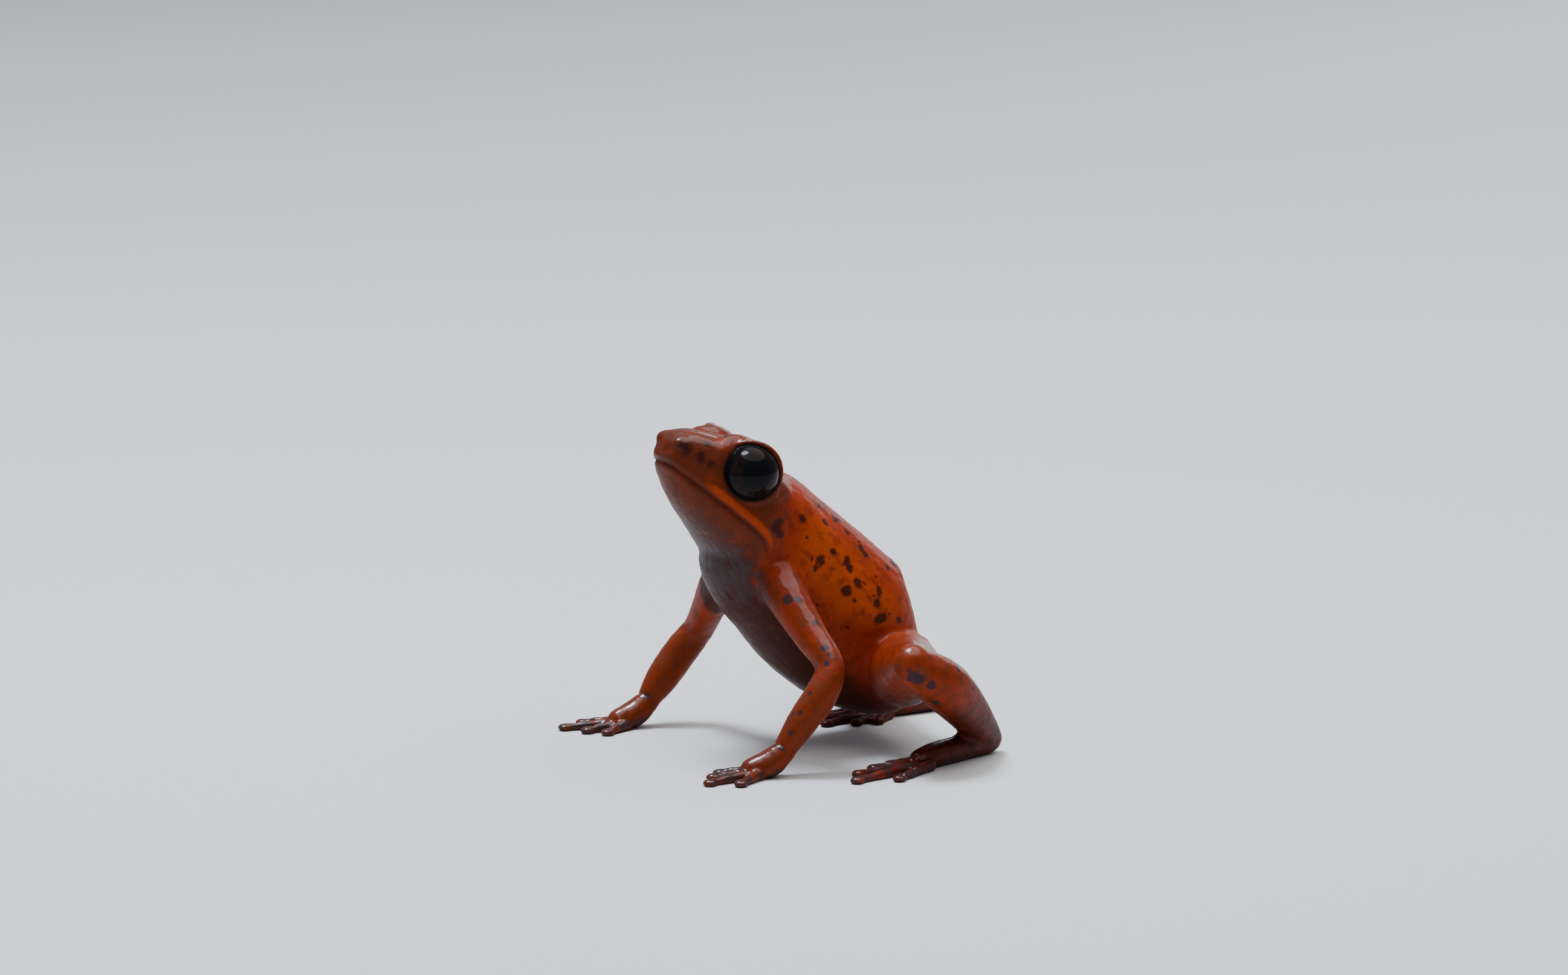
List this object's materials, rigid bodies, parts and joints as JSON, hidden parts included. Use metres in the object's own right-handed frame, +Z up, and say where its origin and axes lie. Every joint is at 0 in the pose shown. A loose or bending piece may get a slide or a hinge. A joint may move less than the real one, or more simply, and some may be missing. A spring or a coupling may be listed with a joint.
{
  "type": "dart frog model",
  "caption": "Life-size model of a strawberry poison dart frog sitting upright on straight forelegs with its head raised, orange-red with small dark spots and black eyes.",
  "frame": {"origin": "middle of the frog's bounding box, on the floor under it", "axes": "+Z up, the frog's body faces -Y and its left side is towards +X"},
  "size_m": [0.0226, 0.023, 0.0176],
  "materials": {
    "skin_of_head": "moist and glossy",
    "skin_of_torso": "moist and glossy",
    "skin_of_upper_arm_left": "moist and glossy",
    "skin_of_forearm_left": "moist and glossy",
    "skin_of_hand_left": "moist and glossy",
    "skin_of_thigh_left": "moist and glossy",
    "skin_of_shank_left": "moist and glossy",
    "skin_of_foot_left": "moist and glossy",
    "skin_of_upper_arm_right": "moist and glossy",
    "skin_of_forearm_right": "moist and glossy",
    "skin_of_hand_right": "moist and glossy",
    "skin_of_thigh_right": "moist and glossy",
    "skin_of_shank_right": "moist and glossy",
    "skin_of_foot_right": "moist and glossy",
    "black_of_eye_left": "wet, mirror-smooth",
    "black_of_eye_right": "wet, mirror-smooth"
  },
  "bodies": {
    "root": {"head": "skin_of_head", "torso": "skin_of_torso", "upper_arm_left": "skin_of_upper_arm_left", "forearm_left": "skin_of_forearm_left", "hand_left": "skin_of_hand_left", "thigh_left": "skin_of_thigh_left", "shank_left": "skin_of_shank_left", "foot_left": "skin_of_foot_left", "upper_arm_right": "skin_of_upper_arm_right", "forearm_right": "skin_of_forearm_right", "hand_right": "skin_of_hand_right", "thigh_right": "skin_of_thigh_right", "shank_right": "skin_of_shank_right", "foot_right": "skin_of_foot_right", "eye_left": "black_of_eye_left", "eye_right": "black_of_eye_right"}
  },
  "joints": []
}
